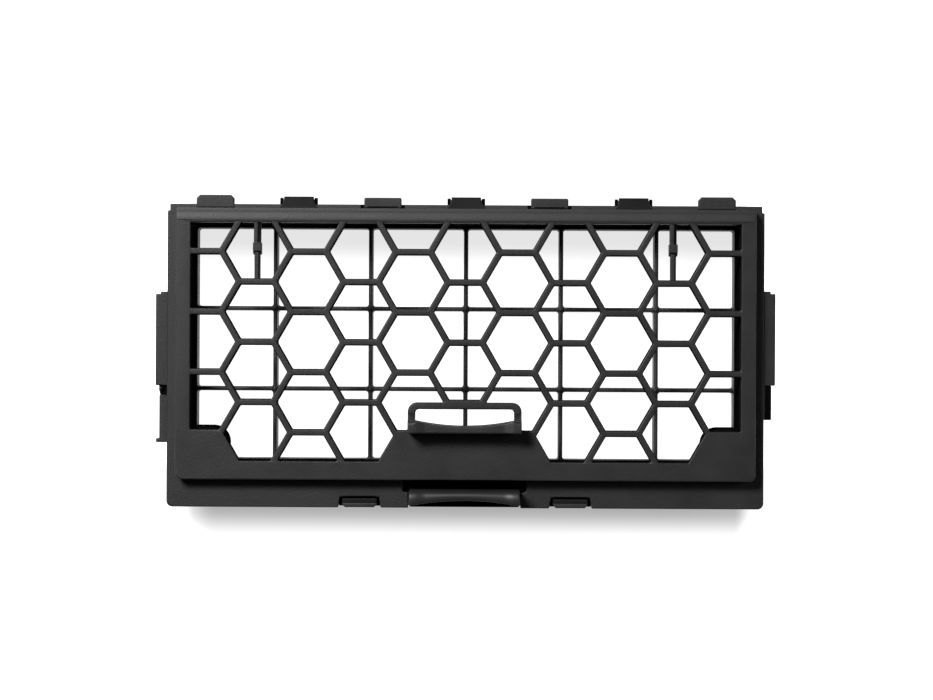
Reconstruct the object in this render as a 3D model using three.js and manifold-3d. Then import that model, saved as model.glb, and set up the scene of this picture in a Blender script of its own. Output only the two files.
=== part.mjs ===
// A hinged filter frame, injection moulded in black plastic: a deep tray with a coarse rear
// grid, a honeycomb cover hinged along its top edge, a squeeze latch and two snap tabs.
// Millimetres. +X right, +Y towards the hinged edge, +Z out of the cover. The origin is the
// middle of the plane that the tray's rear rim stands on.
import * as THREE from "three";
import { mergeVertices } from "three/addons/utils/BufferGeometryUtils.js";
import Module from "manifold-3d";

const wasm = await Module();
wasm.setup();

// Levels above the rear rim
const FLANGE_BACK = 20.5;
const FLANGE_FRONT = 22.5;
const TAB_FRONT = 22.9;
const COVER_BACK = 22.8;
const COVER_FRONT = 28;
const GRILLE_BACK = 23.8;
const GRILLE_FRONT = 27.8;
const LIP_TOP = 36.5;
const RIB_DEPTH = 8;

// Tray outline
const FLANGE_HALF_WIDTH = 99.9;
const FLANGE_TOP_HALF_WIDTH = 99.1;
const FLANGE_BOTTOM = -52.2;
const FLANGE_TOP = 49.2;
const FLANGE_CORNER = 1.5;
const SIDE_STRIP_TOP = 47;
const TRAY_HALF_WIDTH = 91;
const TRAY_BOTTOM = -36.3;
const TRAY_TOP = 41.7;
const WALL = 1.6;
const RIB = 1.25;
const VERTICAL_RIBS = [-64.6, -32.3, 0, 32.3, 64.6];
const HORIZONTAL_RIBS = { upper: 14.6, lower: -12.7 };
const CORNER_BLOCK = { left: 80, top: -25.2, radius: 6.3 };

// Cover outline
const COVER_HALF_WIDTH = 96.65;
const COVER_BOTTOM = -42.7;
const COVER_TOP = 47.7;
const OPENING_HALF_WIDTH = 91.7;
const OPENING_BOTTOM = -36.6;
const OPENING_TOP = 43.2;
const COVER_CORNER = 2;
const COVER_SKIN = 2;
const COVER_SIDE = 1.3;

// Honeycomb: flat-topped cells, even columns centred on CELL_CENTRE_Y
const CELL_PITCH = 20;
const CELL_COLUMN = (CELL_PITCH * Math.sqrt(3)) / 2;
const CELL_CENTRE_Y = 3.2;
const STRUT = 2;
const LAST_COLUMN = 5;

// Filled areas of the grille
const PANEL_TOP = -26.2;
const PANEL_HALF_TOP = 23.3;
const PANEL_HALF_BOTTOM = 28.9;
const CORNER_PANEL_TOP = -26.3;
const CORNER_PANEL_SHOULDER = 81;
const CORNER_PANEL_FOOT = 75.2;

// A retaining arm hangs in the top cell of each fourth column.
const ARM = { headTop: 36.5, headLow: 33.5 };

// The finger loop starts in the plane of the grille, and its two legs rise to a lip.
const LOOP = {
  middle: -0.2,
  half: 18.9,
  inner: 16.6,
  top: -17,
  barLow: -19,
  bend: -20.2,
  legEnd: -22.9,
  outer: 3,
  innerRadius: 1.3,
};
const LOOP_CLEARANCE = 0.4;
const LIP = { low: -27, middle: -24.7 };

// Hinge: three hooks of the cover ride on three pins of the tray
const HINGE_Y = 49.9;
const HINGE_Z = 21.5;
const PIN_RADIUS = 1;
const HOOK_BORE = 1.06;
const HOOK_RADIUS = 1.95;
const HOOK_WIDTH = 10;
const HOOK_ROOT = { half: 6.7, shoulder: 6, low: 48.3, high: 48.8 };
const HOOK_FRONT = { back: 22.8, root: 25.2, tip: 22.8 };
const PIN_GAP = 10.3;
const LUG_WIDTH = 1.15;
const LUG_REACH = 51.4;
const HINGE_PLACES = { left: -56, centre: 0, right: 56 };
const CUTOUT_BOTTOM = 47.6;

// Tabs along the top edge
const TOP_TABS = [
  { name: "top_tab_far_left", x: -83.9, width: 12.6, reach: 52.2, chamfer: 1.1 },
  { name: "top_tab_inner_left", x: -27.9, width: 12.5, reach: 51.5, chamfer: 0.3 },
  { name: "top_tab_inner_right", x: 27.9, width: 12.5, reach: 51.5, chamfer: 0.3 },
  { name: "top_tab_far_right", x: 83.9, width: 12.6, reach: 52.2, chamfer: 1.1 },
];

// Squeeze latch in the bottom strip of the flange
const LATCH_PIVOT_Y = -46.4;
const LATCH_PIVOT_Z = 18.8;
const LATCH_X = -0.2;
const LATCH_HALF_WIDTH = 18.5;
const LATCH_SLOT_HALF = 20.7;
const LATCH_NOTCH_HALF = 18.8;
const LATCH_SLOT_BOTTOM = -46.9;
const LATCH_TOP = 33;
const LATCH_PLATE = { bottom: 15.6, top: 17.4, low: -51.9, high: -46.4 };
const GRIP = { high: -45.9, low: -51.4, foot: 3.2, archMiddle: -48.2 };
const LATCH_LEG_FRONT = -44.9;
const LATCH_NOSE_TIP = -42.3;
const TRUNNION_RADIUS = 1;
const TRUNNION_END = 21;
const BRACKET = { end: 21.3, low: -48.6, high: -44.4, back: 16.4 };
const SHELF = { back: 4, front: 5.4, half: 22.5 };
const KEEPER_HALF_WIDTH = 12;
const KEEPER = { back: -39.9, front: -41.4, catchFront: -43.2, low: 7.6, ledge: 10 };
const CATCH_SLOPE = 0.8;

// Snap tabs in the bottom edge
const SNAP_X = 35.3;
const SNAP_WIDTH = 11.5;
const SNAP_NOTCH = 14.2;
const SNAP_NOTCH_TOP = -48.5;
const SNAP_TOP = -49.1;
const SNAP_REACH = -52.1;
const SNAP_LEG = 1.2;
const SNAP_LEG_LOW = 12;

function plastic(color, roughness = 0.55) {
  return new THREE.MeshStandardMaterial({ color, roughness, metalness: 0 });
}

const TRAY_COLOR = 0x2c2c2d;
const COVER_COLOR = 0x323233;
const LATCH_COLOR = 0x303031;

// manifold-3d joins and cuts; the shapes themselves are three.js geometries.
function solidOf(geometry) {
  const bare = geometry.clone();
  bare.deleteAttribute("normal");
  bare.deleteAttribute("uv");
  const merged = mergeVertices(bare, 1e-4);
  const vertProperties = new Float32Array(merged.attributes.position.array);
  const triVerts = new Uint32Array(merged.index.array);
  return new wasm.Manifold(new wasm.Mesh({ numProp: 3, vertProperties, triVerts }));
}

function geometryOf(solid) {
  const mesh = solid.getMesh();
  const geometry = new THREE.BufferGeometry();
  geometry.setAttribute("position", new THREE.BufferAttribute(mesh.vertProperties, 3));
  geometry.setIndex(new THREE.BufferAttribute(mesh.triVerts, 1));
  geometry.computeVertexNormals();
  return geometry;
}

function box(x, y, z) {
  const geometry = new THREE.BoxGeometry(x[1] - x[0], y[1] - y[0], z[1] - z[0]);
  return geometry.translate((x[0] + x[1]) / 2, (y[0] + y[1]) / 2, (z[0] + z[1]) / 2);
}

// A plate whose outline lies in XY, between two levels.
function plate(shape, back, front, curveSegments = 6) {
  const depth = front - back;
  const geometry = new THREE.ExtrudeGeometry(shape, { depth, bevelEnabled: false, curveSegments });
  return geometry.translate(0, 0, back);
}

// A bar whose outline is drawn in YZ, as [y, z] points, and runs from one x to another.
function bar(points, left, right) {
  const shape = new THREE.Shape(points.map(([y, z]) => new THREE.Vector2(y, z)));
  const geometry = new THREE.ExtrudeGeometry(shape, { depth: right - left, bevelEnabled: false });
  const turn = new THREE.Matrix4().set(0, 0, 1, left, 1, 0, 0, 0, 0, 1, 0, 0, 0, 0, 0, 1);
  return geometry.applyMatrix4(turn);
}

function cylinderAlongX(radius, length, sides) {
  return new THREE.CylinderGeometry(radius, radius, length, sides).rotateZ(Math.PI / 2);
}

function outline(points) {
  return new THREE.Shape(points.map(([x, y]) => new THREE.Vector2(x, y)));
}

function mirrored(points) {
  return points.map(([x, y]) => [-x, y]).reverse();
}

const frame = new THREE.Group();
const tray = new THREE.Group();
const cover = new THREE.Group();
const latch = new THREE.Group();
frame.add(tray, cover, latch);

function add(group, name, geometry, material) {
  const mesh = new THREE.Mesh(geometry, material);
  mesh.name = name;
  group.add(mesh);
  return mesh;
}

// ---- tray ----

function flangeSide(side) {
  const inner = TRAY_HALF_WIDTH + WALL;
  const outer = FLANGE_HALF_WIDTH;
  const shape = new THREE.Shape();
  shape.moveTo(inner, FLANGE_BOTTOM);
  shape.lineTo(outer - FLANGE_CORNER, FLANGE_BOTTOM);
  shape.absarc(outer - FLANGE_CORNER, FLANGE_BOTTOM + FLANGE_CORNER, FLANGE_CORNER, -Math.PI / 2, 0);
  shape.lineTo(outer, SIDE_STRIP_TOP);
  shape.lineTo(inner, SIDE_STRIP_TOP);
  const solid = solidOf(plate(shape, FLANGE_BACK, FLANGE_FRONT, 4));
  return geometryOf(side > 0 ? solid : solid.mirror([1, 0, 0]));
}

function flangeTop() {
  const wallX = TRAY_HALF_WIDTH + WALL;
  const inner = box([-wallX, wallX], [TRAY_TOP + WALL, SIDE_STRIP_TOP], [FLANGE_BACK, FLANGE_FRONT]);
  const strip = box([-FLANGE_TOP_HALF_WIDTH, FLANGE_TOP_HALF_WIDTH], [SIDE_STRIP_TOP, FLANGE_TOP],
    [FLANGE_BACK, FLANGE_FRONT]);
  let solid = solidOf(inner).add(solidOf(strip));
  for (const x of Object.values(HINGE_PLACES)) {
    const half = PIN_GAP / 2;
    const gap = box([x - half, x + half], [CUTOUT_BOTTOM, FLANGE_TOP + 1],
      [FLANGE_BACK - 1, FLANGE_FRONT + 1]);
    solid = solid.subtract(solidOf(gap));
    for (const side of [-1, 1]) {
      const near = x + side * half;
      const far = near + side * LUG_WIDTH;
      const lug = box([Math.min(near, far), Math.max(near, far)],
        [FLANGE_TOP - 1, LUG_REACH], [FLANGE_BACK, FLANGE_FRONT]);
      solid = solid.add(solidOf(lug));
    }
  }
  return geometryOf(solid);
}

function flangeBottomPart(side) {
  const shift = side * LATCH_X;
  const inner = LATCH_NOTCH_HALF + shift;
  const notchLeft = SNAP_X - SNAP_NOTCH / 2;
  const notchRight = SNAP_X + SNAP_NOTCH / 2;
  const slotEdge = LATCH_SLOT_HALF + shift;
  const points = [
    [inner, FLANGE_BOTTOM],
    [notchLeft, FLANGE_BOTTOM],
    [notchLeft + 0.6, SNAP_NOTCH_TOP],
    [notchRight - 0.6, SNAP_NOTCH_TOP],
    [notchRight, FLANGE_BOTTOM],
    [TRAY_HALF_WIDTH + WALL, FLANGE_BOTTOM],
    [TRAY_HALF_WIDTH + WALL, TRAY_BOTTOM - WALL],
    [slotEdge, TRAY_BOTTOM - WALL],
    [slotEdge, LATCH_SLOT_BOTTOM + 1],
    [slotEdge - 0.3, LATCH_SLOT_BOTTOM + 0.3],
    [slotEdge - 1, LATCH_SLOT_BOTTOM],
    [inner, LATCH_SLOT_BOTTOM],
  ];
  return plate(outline(side > 0 ? points : mirrored(points)), FLANGE_BACK, FLANGE_FRONT);
}

function makeFlange(material) {
  add(tray, "flange_left", flangeSide(-1), material);
  add(tray, "flange_right", flangeSide(1), material);
  add(tray, "flange_top", flangeTop(), material);
  add(tray, "flange_bottom_left", flangeBottomPart(-1), material);
  add(tray, "flange_bottom_right", flangeBottomPart(1), material);
}

function makeWalls(material) {
  const high = [0, FLANGE_FRONT];
  const outer = TRAY_HALF_WIDTH + WALL;
  const span = [TRAY_BOTTOM - WALL, TRAY_TOP + WALL];
  const inside = [-TRAY_HALF_WIDTH, TRAY_HALF_WIDTH];
  add(tray, "wall_left", box([-outer, -TRAY_HALF_WIDTH], span, high), material);
  add(tray, "wall_right", box([TRAY_HALF_WIDTH, outer], span, high), material);
  add(tray, "wall_top", box(inside, [TRAY_TOP, TRAY_TOP + WALL], high), material);
  add(tray, "wall_bottom", box(inside, [TRAY_BOTTOM - WALL, TRAY_BOTTOM], high), material);
}

// The two sets of rear ribs cross in half laps, so that each rib is one bar.
function makeRearRibs(material) {
  const half = RIB / 2;
  const middle = RIB_DEPTH / 2;
  const across = [-TRAY_HALF_WIDTH, TRAY_HALF_WIDTH];
  VERTICAL_RIBS.forEach((x, index) => {
    let rib = solidOf(box([x - half, x + half], [TRAY_BOTTOM, TRAY_TOP], [0, RIB_DEPTH]));
    for (const y of Object.values(HORIZONTAL_RIBS)) {
      const lap = box([x - RIB, x + RIB], [y - half, y + half], [middle, RIB_DEPTH + 1]);
      rib = rib.subtract(solidOf(lap));
    }
    add(tray, "rear_rib_vertical_" + (index + 1), geometryOf(rib), material);
  });
  for (const [name, y] of Object.entries(HORIZONTAL_RIBS)) {
    let rib = solidOf(box(across, [y - half, y + half], [0, RIB_DEPTH]));
    for (const x of VERTICAL_RIBS) {
      const lap = box([x - half, x + half], [y - RIB, y + RIB], [-1, middle]);
      rib = rib.subtract(solidOf(lap));
    }
    add(tray, "rear_rib_horizontal_" + name, geometryOf(rib), material);
  }
}

// Blocks that fill the two lower corners of the tray, each with a round inner corner.
function makeCornerBlocks(material) {
  const { left, top, radius } = CORNER_BLOCK;
  const shape = new THREE.Shape();
  shape.moveTo(left, TRAY_BOTTOM);
  shape.lineTo(TRAY_HALF_WIDTH, TRAY_BOTTOM);
  shape.lineTo(TRAY_HALF_WIDTH, top);
  shape.lineTo(left + radius, top);
  shape.absarc(left + radius, top - radius, radius, Math.PI / 2, Math.PI);
  const solid = solidOf(plate(shape, 0, FLANGE_FRONT));
  add(tray, "corner_block_right", geometryOf(solid), material);
  add(tray, "corner_block_left", geometryOf(solid.mirror([1, 0, 0])), material);
}

// The ears guide the frame into its housing. The catches below them are slimmer.
function makeSides(material) {
  const edge = FLANGE_HALF_WIDTH;
  const level = [16, FLANGE_FRONT - 0.6];
  const ear = (tip, low, high) => [
    [edge, low],
    [edge + tip, low],
    [edge + tip, high - 0.8],
    [edge + tip - 1.6, high - 0.8],
    [edge + tip - 1.6, high],
    [edge, high],
  ];
  const catchLeft = [
    [edge, -30.7],
    [edge + 3.7, -30.7],
    [edge + 3.7, -29.3],
    [edge + 2.6, -29.3],
    [edge + 2.6, -14.7],
    [edge, -14.7],
  ];
  const catchRight = [
    [edge, -22.3],
    [edge + 2.6, -22.3],
    [edge + 2.6, -10.8],
    [edge, -10.8],
  ];
  add(tray, "ear_left", plate(outline(mirrored(ear(3.9, -10.8, 20.3))), ...level), material);
  add(tray, "ear_right", plate(outline(ear(3.8, -10.8, 20.3)), ...level), material);
  add(tray, "catch_left", plate(outline(mirrored(catchLeft)), ...level), material);
  add(tray, "catch_right", plate(outline(catchRight), ...level), material);
}

function makeTopTabs(material) {
  for (const { name, x, width, reach, chamfer } of TOP_TABS) {
    const half = width / 2;
    const points = [
      [x - half, FLANGE_TOP],
      [x + half, FLANGE_TOP],
      [x + half, reach - chamfer],
      [x + half - chamfer, reach],
      [x - half + chamfer, reach],
      [x - half, reach - chamfer],
    ];
    add(tray, name, plate(outline(points), FLANGE_BACK, TAB_FRONT), material);
  }
}

function makeHingePins(material) {
  for (const [name, x] of Object.entries(HINGE_PLACES)) {
    const pin = add(tray, "hinge_pin_" + name, cylinderAlongX(PIN_RADIUS, PIN_GAP, 24), material);
    pin.position.set(x, HINGE_Y, HINGE_Z);
  }
}

// A snap tab is a springy leg with a stepped head. It stands on an arm from the tray's wall.
function makeSnapTabs(material) {
  const step = SNAP_TOP - 1;
  const back = FLANGE_BACK + 0.2;
  const armTop = SNAP_LEG_LOW - 0.3;
  const half = SNAP_WIDTH / 2;
  const profile = [
    [SNAP_TOP, back],
    [SNAP_TOP, FLANGE_FRONT - 0.6],
    [step, FLANGE_FRONT - 0.6],
    [step, FLANGE_FRONT],
    [SNAP_REACH + 0.5, FLANGE_FRONT],
    [SNAP_REACH, FLANGE_FRONT - 0.5],
    [SNAP_REACH, SNAP_LEG_LOW],
    [SNAP_REACH + SNAP_LEG, SNAP_LEG_LOW],
    [SNAP_REACH + SNAP_LEG, back],
  ].reverse();
  const armHalf = SNAP_NOTCH / 2 + 0.2;
  const arm = box([-armHalf, armHalf], [SNAP_REACH, TRAY_BOTTOM - WALL], [armTop - 1.6, armTop]);
  for (const [name, x] of [["left", -SNAP_X], ["right", SNAP_X]]) {
    add(tray, "snap_tab_" + name, bar(profile, -half, half), material).position.x = x;
    add(tray, "snap_arm_" + name, arm, material).position.x = x;
  }
}

// ---- cover ----

// A bar of the cover is a channel: a front skin and two sides, open at the back.
function channel(x, y, groove) {
  const whole = solidOf(box(x, y, [COVER_BACK, COVER_FRONT]));
  const inside = box(groove.x, groove.y, [COVER_BACK - 1, COVER_FRONT - COVER_SKIN]);
  return whole.subtract(solidOf(inside));
}

function makeCoverBars(material) {
  const side = COVER_SIDE;
  const sideY = [OPENING_BOTTOM, OPENING_TOP];
  const across = [-COVER_HALF_WIDTH, COVER_HALF_WIDTH];
  const grooveX = [-COVER_HALF_WIDTH + side, COVER_HALF_WIDTH - side];
  const rightGroove = {
    x: [OPENING_HALF_WIDTH + side, COVER_HALF_WIDTH - side],
    y: [OPENING_BOTTOM - 1, OPENING_TOP + 1],
  };
  const right = channel([OPENING_HALF_WIDTH, COVER_HALF_WIDTH], sideY, rightGroove);
  add(cover, "cover_bar_right", geometryOf(right), material);
  add(cover, "cover_bar_left", geometryOf(right.mirror([1, 0, 0])), material);
  const topGroove = { x: grooveX, y: [OPENING_TOP + side, COVER_TOP - side] };
  const top = channel(across, [OPENING_TOP, COVER_TOP], topGroove);
  add(cover, "cover_bar_top", geometryOf(top), material);
  const bottomGroove = { x: grooveX, y: [COVER_BOTTOM + side, OPENING_BOTTOM - side] };
  const corners = new THREE.Shape();
  const cx = COVER_HALF_WIDTH - COVER_CORNER;
  const cy = COVER_BOTTOM + COVER_CORNER;
  corners.moveTo(COVER_HALF_WIDTH, OPENING_BOTTOM + 1);
  corners.lineTo(-COVER_HALF_WIDTH, OPENING_BOTTOM + 1);
  corners.lineTo(-COVER_HALF_WIDTH, cy);
  corners.absarc(-cx, cy, COVER_CORNER, Math.PI, 1.5 * Math.PI);
  corners.lineTo(cx, COVER_BOTTOM);
  corners.absarc(cx, cy, COVER_CORNER, 1.5 * Math.PI, 2 * Math.PI);
  const rounded = solidOf(plate(corners, COVER_BACK - 1, COVER_FRONT + 1, 4));
  const bottom = channel(across, [COVER_BOTTOM, OPENING_BOTTOM], bottomGroove).intersect(rounded);
  add(cover, "cover_bar_bottom", geometryOf(bottom), material);
}

const CELL_RADIUS = (CELL_PITCH - STRUT) / Math.sqrt(3);

function hexagon(x, y) {
  const radius = CELL_RADIUS;
  const corners = [];
  for (let i = 0; i < 6; i += 1) {
    const angle = (i * Math.PI) / 3;
    corners.push([x + radius * Math.cos(angle), y + radius * Math.sin(angle)]);
  }
  return plate(outline(corners), GRILLE_BACK - 1, GRILLE_FRONT + 1);
}

function panelOutline() {
  return [
    [-PANEL_HALF_BOTTOM, OPENING_BOTTOM],
    [PANEL_HALF_BOTTOM, OPENING_BOTTOM],
    [PANEL_HALF_TOP, PANEL_TOP],
    [LOOP.middle + LOOP.half, PANEL_TOP],
    [LOOP.middle + LOOP.half, LIP.low],
    [LOOP.middle - LOOP.half, LIP.low],
    [LOOP.middle - LOOP.half, PANEL_TOP],
    [-PANEL_HALF_TOP, PANEL_TOP],
  ];
}

function cornerPanelOutline() {
  return [
    [CORNER_PANEL_FOOT, OPENING_BOTTOM],
    [OPENING_HALF_WIDTH, OPENING_BOTTOM],
    [OPENING_HALF_WIDTH, CORNER_PANEL_TOP],
    [CORNER_PANEL_SHOULDER, CORNER_PANEL_TOP],
  ];
}

// The grille is a plate less its cells, less the filled areas and the finger loop's place.
function makeHoneycomb(material) {
  const across = [-OPENING_HALF_WIDTH, OPENING_HALF_WIDTH];
  const level = [GRILLE_BACK, GRILLE_FRONT];
  let grille = solidOf(box(across, [OPENING_BOTTOM, OPENING_TOP], level));
  for (let column = -LAST_COLUMN; column <= LAST_COLUMN; column += 1) {
    const shift = column % 2 === 0 ? CELL_PITCH / 2 : 0;
    for (let row = -3; row <= 2; row += 1) {
      const y = CELL_CENTRE_Y + row * CELL_PITCH + shift;
      grille = grille.subtract(solidOf(hexagon(column * CELL_COLUMN, y)));
    }
    if (column % 2 === 0) {
      const x = column * CELL_COLUMN;
      const span = [x - CELL_RADIUS / 2, x + CELL_RADIUS / 2];
      for (const edge of [OPENING_BOTTOM, OPENING_TOP]) {
        const strip = box(span, [edge - 1.1, edge + 1.1], [GRILLE_BACK - 1, GRILLE_FRONT + 1]);
        grille = grille.subtract(solidOf(strip));
      }
    }
  }
  const cut = [GRILLE_BACK - 1, GRILLE_FRONT + 1];
  const panel = plate(outline(panelOutline()), ...cut);
  const corner = solidOf(plate(outline(cornerPanelOutline()), ...cut));
  const loopHalf = LOOP.half + LOOP_CLEARANCE;
  const loopSpan = [LOOP.middle - loopHalf, LOOP.middle + loopHalf];
  const loopPlace = box(loopSpan, [OPENING_BOTTOM, LOOP.top], cut);
  const belowLoop = box([-PANEL_HALF_TOP, PANEL_HALF_TOP], [OPENING_BOTTOM, PANEL_TOP + 1], cut);
  grille = grille.subtract(solidOf(panel)).subtract(corner);
  grille = grille.subtract(corner.mirror([1, 0, 0])).subtract(solidOf(loopPlace));
  grille = grille.subtract(solidOf(belowLoop));
  const pieces = grille.decompose().sort((a, b) => b.volume() - a.volume());
  add(cover, "honeycomb_grille", geometryOf(pieces[0]), material);
}

function makePanels(material) {
  const level = [COVER_FRONT - COVER_SKIN, COVER_FRONT];
  add(cover, "centre_panel", plate(outline(panelOutline()), ...level), material);
  const corner = cornerPanelOutline();
  add(cover, "corner_panel_right", plate(outline(corner), ...level), material);
  add(cover, "corner_panel_left", plate(outline(mirrored(corner)), ...level), material);
}

function makeFingerLoop(material) {
  const { half, top, barLow, bend, outer, innerRadius: inner } = LOOP;
  const shape = new THREE.Shape();
  shape.moveTo(half, bend);
  shape.absarc(half - outer, top - outer, outer, 0, Math.PI / 2);
  shape.absarc(-half + outer, top - outer, outer, Math.PI / 2, Math.PI);
  shape.lineTo(-half, bend);
  shape.lineTo(-LOOP.inner, bend);
  shape.absarc(-LOOP.inner + inner, barLow - inner, inner, Math.PI, Math.PI / 2, true);
  shape.absarc(LOOP.inner - inner, barLow - inner, inner, Math.PI / 2, 0, true);
  shape.lineTo(LOOP.inner, bend);
  const loop = plate(shape, GRILLE_BACK, GRILLE_FRONT, 4);
  add(cover, "finger_loop_bar", loop, material).position.x = LOOP.middle;
  const leg = [
    [bend, GRILLE_BACK],
    [bend, GRILLE_FRONT],
    [LOOP.legEnd, LIP_TOP],
    [LOOP.legEnd, GRILLE_BACK],
  ].reverse();
  for (const [name, left, right] of [["left", -half, -LOOP.inner], ["right", LOOP.inner, half]]) {
    add(cover, "finger_loop_leg_" + name, bar(leg, left, right), material).position.x = LOOP.middle;
  }
}

function makeLip(material) {
  const sag = LIP.middle - LOOP.legEnd;
  const shape = new THREE.Shape();
  shape.moveTo(-LOOP.half, LIP.low);
  shape.lineTo(LOOP.half, LIP.low);
  shape.lineTo(LOOP.half, LOOP.legEnd);
  shape.lineTo(LOOP.inner, LOOP.legEnd);
  shape.quadraticCurveTo(0, LOOP.legEnd + 2 * sag, -LOOP.inner, LOOP.legEnd);
  shape.lineTo(-LOOP.half, LOOP.legEnd);
  const lip = plate(shape, GRILLE_BACK, LIP_TOP, 12);
  add(cover, "finger_lip", lip, material).position.x = LOOP.middle;
}

function makeRetainingArms(material) {
  const x = 4 * CELL_COLUMN;
  const { headTop, headLow } = ARM;
  const strutTop = CELL_CENTRE_Y + CELL_PITCH + STRUT / 2;
  const points = [
    [x - 1, strutTop],
    [x + 1, strutTop],
    [x + 1, headLow - 0.8],
    [x + 1.6, headLow],
    [x + 1.6, headTop],
    [x + 1.1, headTop],
    [x + 1.3, OPENING_TOP],
    [x - 1.3, OPENING_TOP],
    [x - 1.1, headTop],
    [x - 1.6, headTop],
    [x - 1.6, headLow],
    [x - 1, headLow - 0.8],
  ];
  const level = [GRILLE_BACK, GRILLE_FRONT];
  add(cover, "retaining_arm_right", plate(outline(points), ...level), material);
  add(cover, "retaining_arm_left", plate(outline(mirrored(points)), ...level), material);
}

// A hook is a ring with a sloping neck in front of it. The neck widens where it meets the cover.
function makeHingeHooks(material) {
  const ring = solidOf(cylinderAlongX(HOOK_RADIUS, HOOK_WIDTH, 24));
  const bore = solidOf(cylinderAlongX(HOOK_BORE / Math.cos(Math.PI / 24), HOOK_WIDTH + 2, 24));
  const half = HOOK_WIDTH / 2;
  const root = HOOK_ROOT;
  const { back, root: front, tip } = HOOK_FRONT;
  const reach = HINGE_Y + HOOK_RADIUS * 0.7;
  const slope = solidOf(bar([[COVER_TOP, back], [reach, back], [reach, tip + 0.1], [COVER_TOP, front]],
    -root.half, root.half));
  const face = solidOf(plate(outline([
    [-root.half, COVER_TOP],
    [root.half, COVER_TOP],
    [root.shoulder, root.low],
    [half, root.high],
    [half, reach],
    [-half, reach],
    [-half, root.high],
    [-root.shoulder, root.low],
  ]), back - 1, front + 1));
  const neck = slope.intersect(face).translate([0, -HINGE_Y, -HINGE_Z]);
  const hook = geometryOf(ring.add(neck).subtract(bore));
  for (const [name, x] of Object.entries(HINGE_PLACES)) {
    add(cover, "hinge_hook_" + name, hook, material).position.set(x, HINGE_Y, HINGE_Z);
  }
}

// The keeper hangs from the cover's bottom bar, behind the flange, for the latch's nose.
function makeKeeper(material) {
  const profile = [
    [KEEPER.back, KEEPER.low],
    [KEEPER.back, COVER_FRONT - COVER_SKIN],
    [KEEPER.front, COVER_FRONT - COVER_SKIN],
    [KEEPER.front, KEEPER.ledge],
    [KEEPER.catchFront, KEEPER.ledge - CATCH_SLOPE],
    [KEEPER.catchFront, KEEPER.low + 0.6],
    [KEEPER.front, KEEPER.low],
  ];
  add(cover, "latch_keeper", bar(profile, -KEEPER_HALF_WIDTH, KEEPER_HALF_WIDTH), material);
}

// ---- latch ----

function makeLatch(material) {
  const half = LATCH_HALF_WIDTH;
  const { bottom, top, low, high } = LATCH_PLATE;
  const base = box([-half, half], [low, high], [bottom, top]);
  add(latch, "latch_plate", base, material).position.x = LATCH_X;
  const grip = new THREE.Shape();
  grip.moveTo(-half, GRIP.high);
  grip.lineTo(-half, GRIP.low);
  grip.lineTo(-half + GRIP.foot, GRIP.low);
  grip.quadraticCurveTo(0, GRIP.archMiddle, half - GRIP.foot, GRIP.low);
  grip.lineTo(half, GRIP.low);
  grip.lineTo(half, GRIP.high);
  add(latch, "latch_grip", plate(grip, top, LATCH_TOP, 12), material).position.x = LATCH_X;
  const nose = [
    [high, bottom],
    [high, top],
    [LATCH_LEG_FRONT, top],
    [LATCH_LEG_FRONT, KEEPER.ledge + 2.6],
    [LATCH_NOSE_TIP, KEEPER.ledge + 1.4],
    [LATCH_NOSE_TIP, KEEPER.ledge + 0.3],
    [high, KEEPER.ledge - CATCH_SLOPE - 0.6],
  ].reverse();
  add(latch, "latch_nose", bar(nose, -KEEPER_HALF_WIDTH + 1, KEEPER_HALF_WIDTH - 1), material);
  for (const [name, side] of [["left", -1], ["right", 1]]) {
    const length = TRUNNION_END - half;
    const trunnion = cylinderAlongX(TRUNNION_RADIUS, length, 24);
    const stub = add(latch, "latch_trunnion_" + name, trunnion, material);
    const x = LATCH_X + (side * (TRUNNION_END + half)) / 2;
    stub.position.set(x, LATCH_PIVOT_Y, LATCH_PIVOT_Z);
  }
}

// The brackets under the flange hold the latch's trunnions.
function makeLatchBrackets(material) {
  const block = box([LATCH_NOTCH_HALF, BRACKET.end], [BRACKET.low, BRACKET.high],
    [BRACKET.back, FLANGE_BACK]);
  const radius = HOOK_BORE / Math.cos(Math.PI / 24);
  const bore = cylinderAlongX(radius, 8, 24).translate(20, LATCH_PIVOT_Y, LATCH_PIVOT_Z);
  const bracket = solidOf(block).subtract(solidOf(bore));
  const both = { right: bracket, left: bracket.mirror([1, 0, 0]) };
  for (const [name, solid] of Object.entries(both)) {
    add(tray, "latch_bracket_" + name, geometryOf(solid), material).position.x = LATCH_X;
  }
}

// A shelf of the tray's wall closes the latch's slot at the back.
function makeLatchShelf(material) {
  const { back, front, half } = SHELF;
  const shelf = box([-half, half], [FLANGE_BOTTOM, TRAY_BOTTOM - WALL], [back, front]);
  add(tray, "latch_shelf", shelf, material);
}

makeFlange(plastic(TRAY_COLOR));
makeWalls(plastic(TRAY_COLOR, 0.6));
makeRearRibs(plastic(TRAY_COLOR, 0.6));
makeCornerBlocks(plastic(TRAY_COLOR, 0.6));
makeSides(plastic(TRAY_COLOR));
makeTopTabs(plastic(TRAY_COLOR));
makeHingePins(plastic(TRAY_COLOR));
makeSnapTabs(plastic(TRAY_COLOR));
makeLatchBrackets(plastic(TRAY_COLOR));
makeLatchShelf(plastic(TRAY_COLOR, 0.6));
makeCoverBars(plastic(COVER_COLOR));
makeHoneycomb(plastic(COVER_COLOR));
makePanels(plastic(COVER_COLOR));
makeFingerLoop(plastic(COVER_COLOR));
makeLip(plastic(COVER_COLOR));
makeRetainingArms(plastic(COVER_COLOR));
makeHingeHooks(plastic(COVER_COLOR));
makeKeeper(plastic(COVER_COLOR));
makeLatch(plastic(LATCH_COLOR));

export default frame;
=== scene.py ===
"""A hinged filter frame in black moulded plastic, lying on a white studio floor."""
import math

import bmesh
import bpy
from mathutils import Matrix, Vector
from mathutils.geometry import delaunay_2d_cdt


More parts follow.
